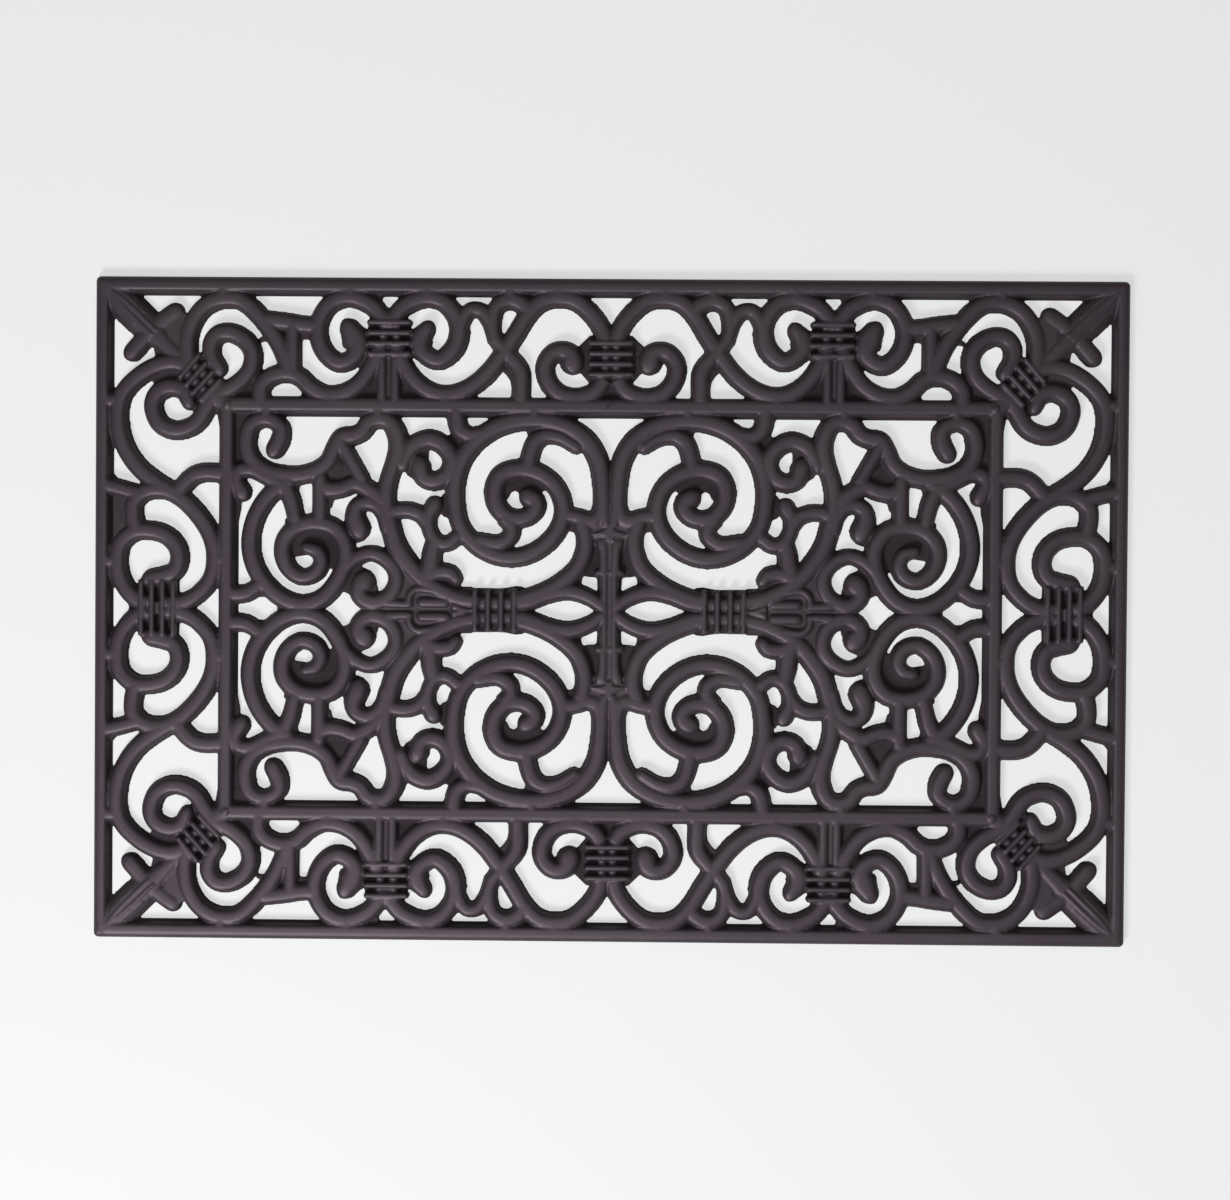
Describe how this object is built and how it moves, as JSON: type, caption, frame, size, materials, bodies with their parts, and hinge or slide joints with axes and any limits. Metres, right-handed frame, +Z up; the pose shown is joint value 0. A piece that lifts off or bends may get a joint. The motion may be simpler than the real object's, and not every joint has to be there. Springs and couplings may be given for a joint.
{
  "type": "door mat",
  "caption": "Rectangular openwork rubber door mat with a scrolled border, an inner frame and a mirrored scroll panel; lies flat on a floor.",
  "frame": {"origin": "middle of the underside, on the floor", "axes": "+X along the mat's length, +Y across it towards the back long edge, +Z up"},
  "size_m": [0.7, 0.45, 0.0096],
  "materials": {
    "rubber": "matte, dusty charcoal-brown moulded rubber"
  },
  "bodies": {
    "root": {"outer_bar_back": "rubber", "outer_bar_front": "rubber", "outer_bar_left": "rubber", "outer_bar_right": "rubber", "inner_bar_back": "rubber", "inner_bar_front": "rubber", "inner_bar_left": "rubber", "inner_bar_right": "rubber", "corner_scroll_back_left": "rubber", "lyre_back_left": "rubber", "volute_back_left": "rubber", "corner_scroll_back_right": "rubber", "lyre_back_right": "rubber", "volute_back_right": "rubber", "corner_scroll_front_left": "rubber", "lyre_front_left": "rubber", "volute_front_left": "rubber", "corner_scroll_front_right": "rubber", "lyre_front_right": "rubber", "volute_front_right": "rubber", "middle_scroll_back": "rubber", "middle_scroll_front": "rubber", "side_scroll_left": "rubber", "side_scroll_right": "rubber", "ornament_left": "rubber", "ornament_right": "rubber", "spine": "rubber"}
  },
  "joints": []
}
